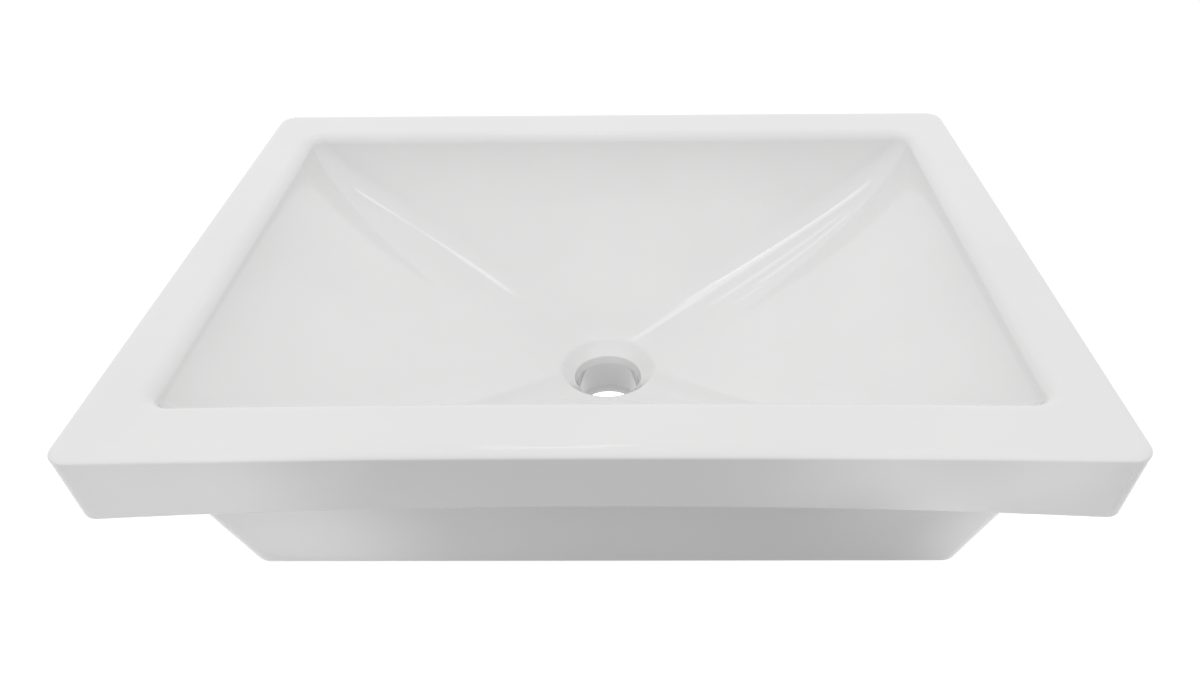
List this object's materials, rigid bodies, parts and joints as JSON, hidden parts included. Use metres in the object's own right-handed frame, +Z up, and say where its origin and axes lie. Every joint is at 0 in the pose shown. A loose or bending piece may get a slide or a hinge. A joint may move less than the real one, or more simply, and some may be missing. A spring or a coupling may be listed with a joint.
{
  "type": "countertop basin",
  "caption": "Rectangular countertop washbasin in white glazed ceramic: thick overhanging rim slab, bowl with four concave walls meeting in valleys, central outlet and tapered base.",
  "frame": {"origin": "middle of the foot, on the surface that the basin stands on", "axes": "+X along the slab's length to the right, -Y to the front, +Z up"},
  "size_m": [0.555, 0.425, 0.15],
  "materials": {
    "glaze": "gloss white glaze",
    "bisque": "ground, unglazed"
  },
  "bodies": {
    "root": {"rim_slab": "glaze", "bowl": "glaze", "drain_outlet": "glaze", "base_skirt": "glaze", "foot_ring": "bisque", "cradle_webs": "glaze"}
  },
  "joints": []
}
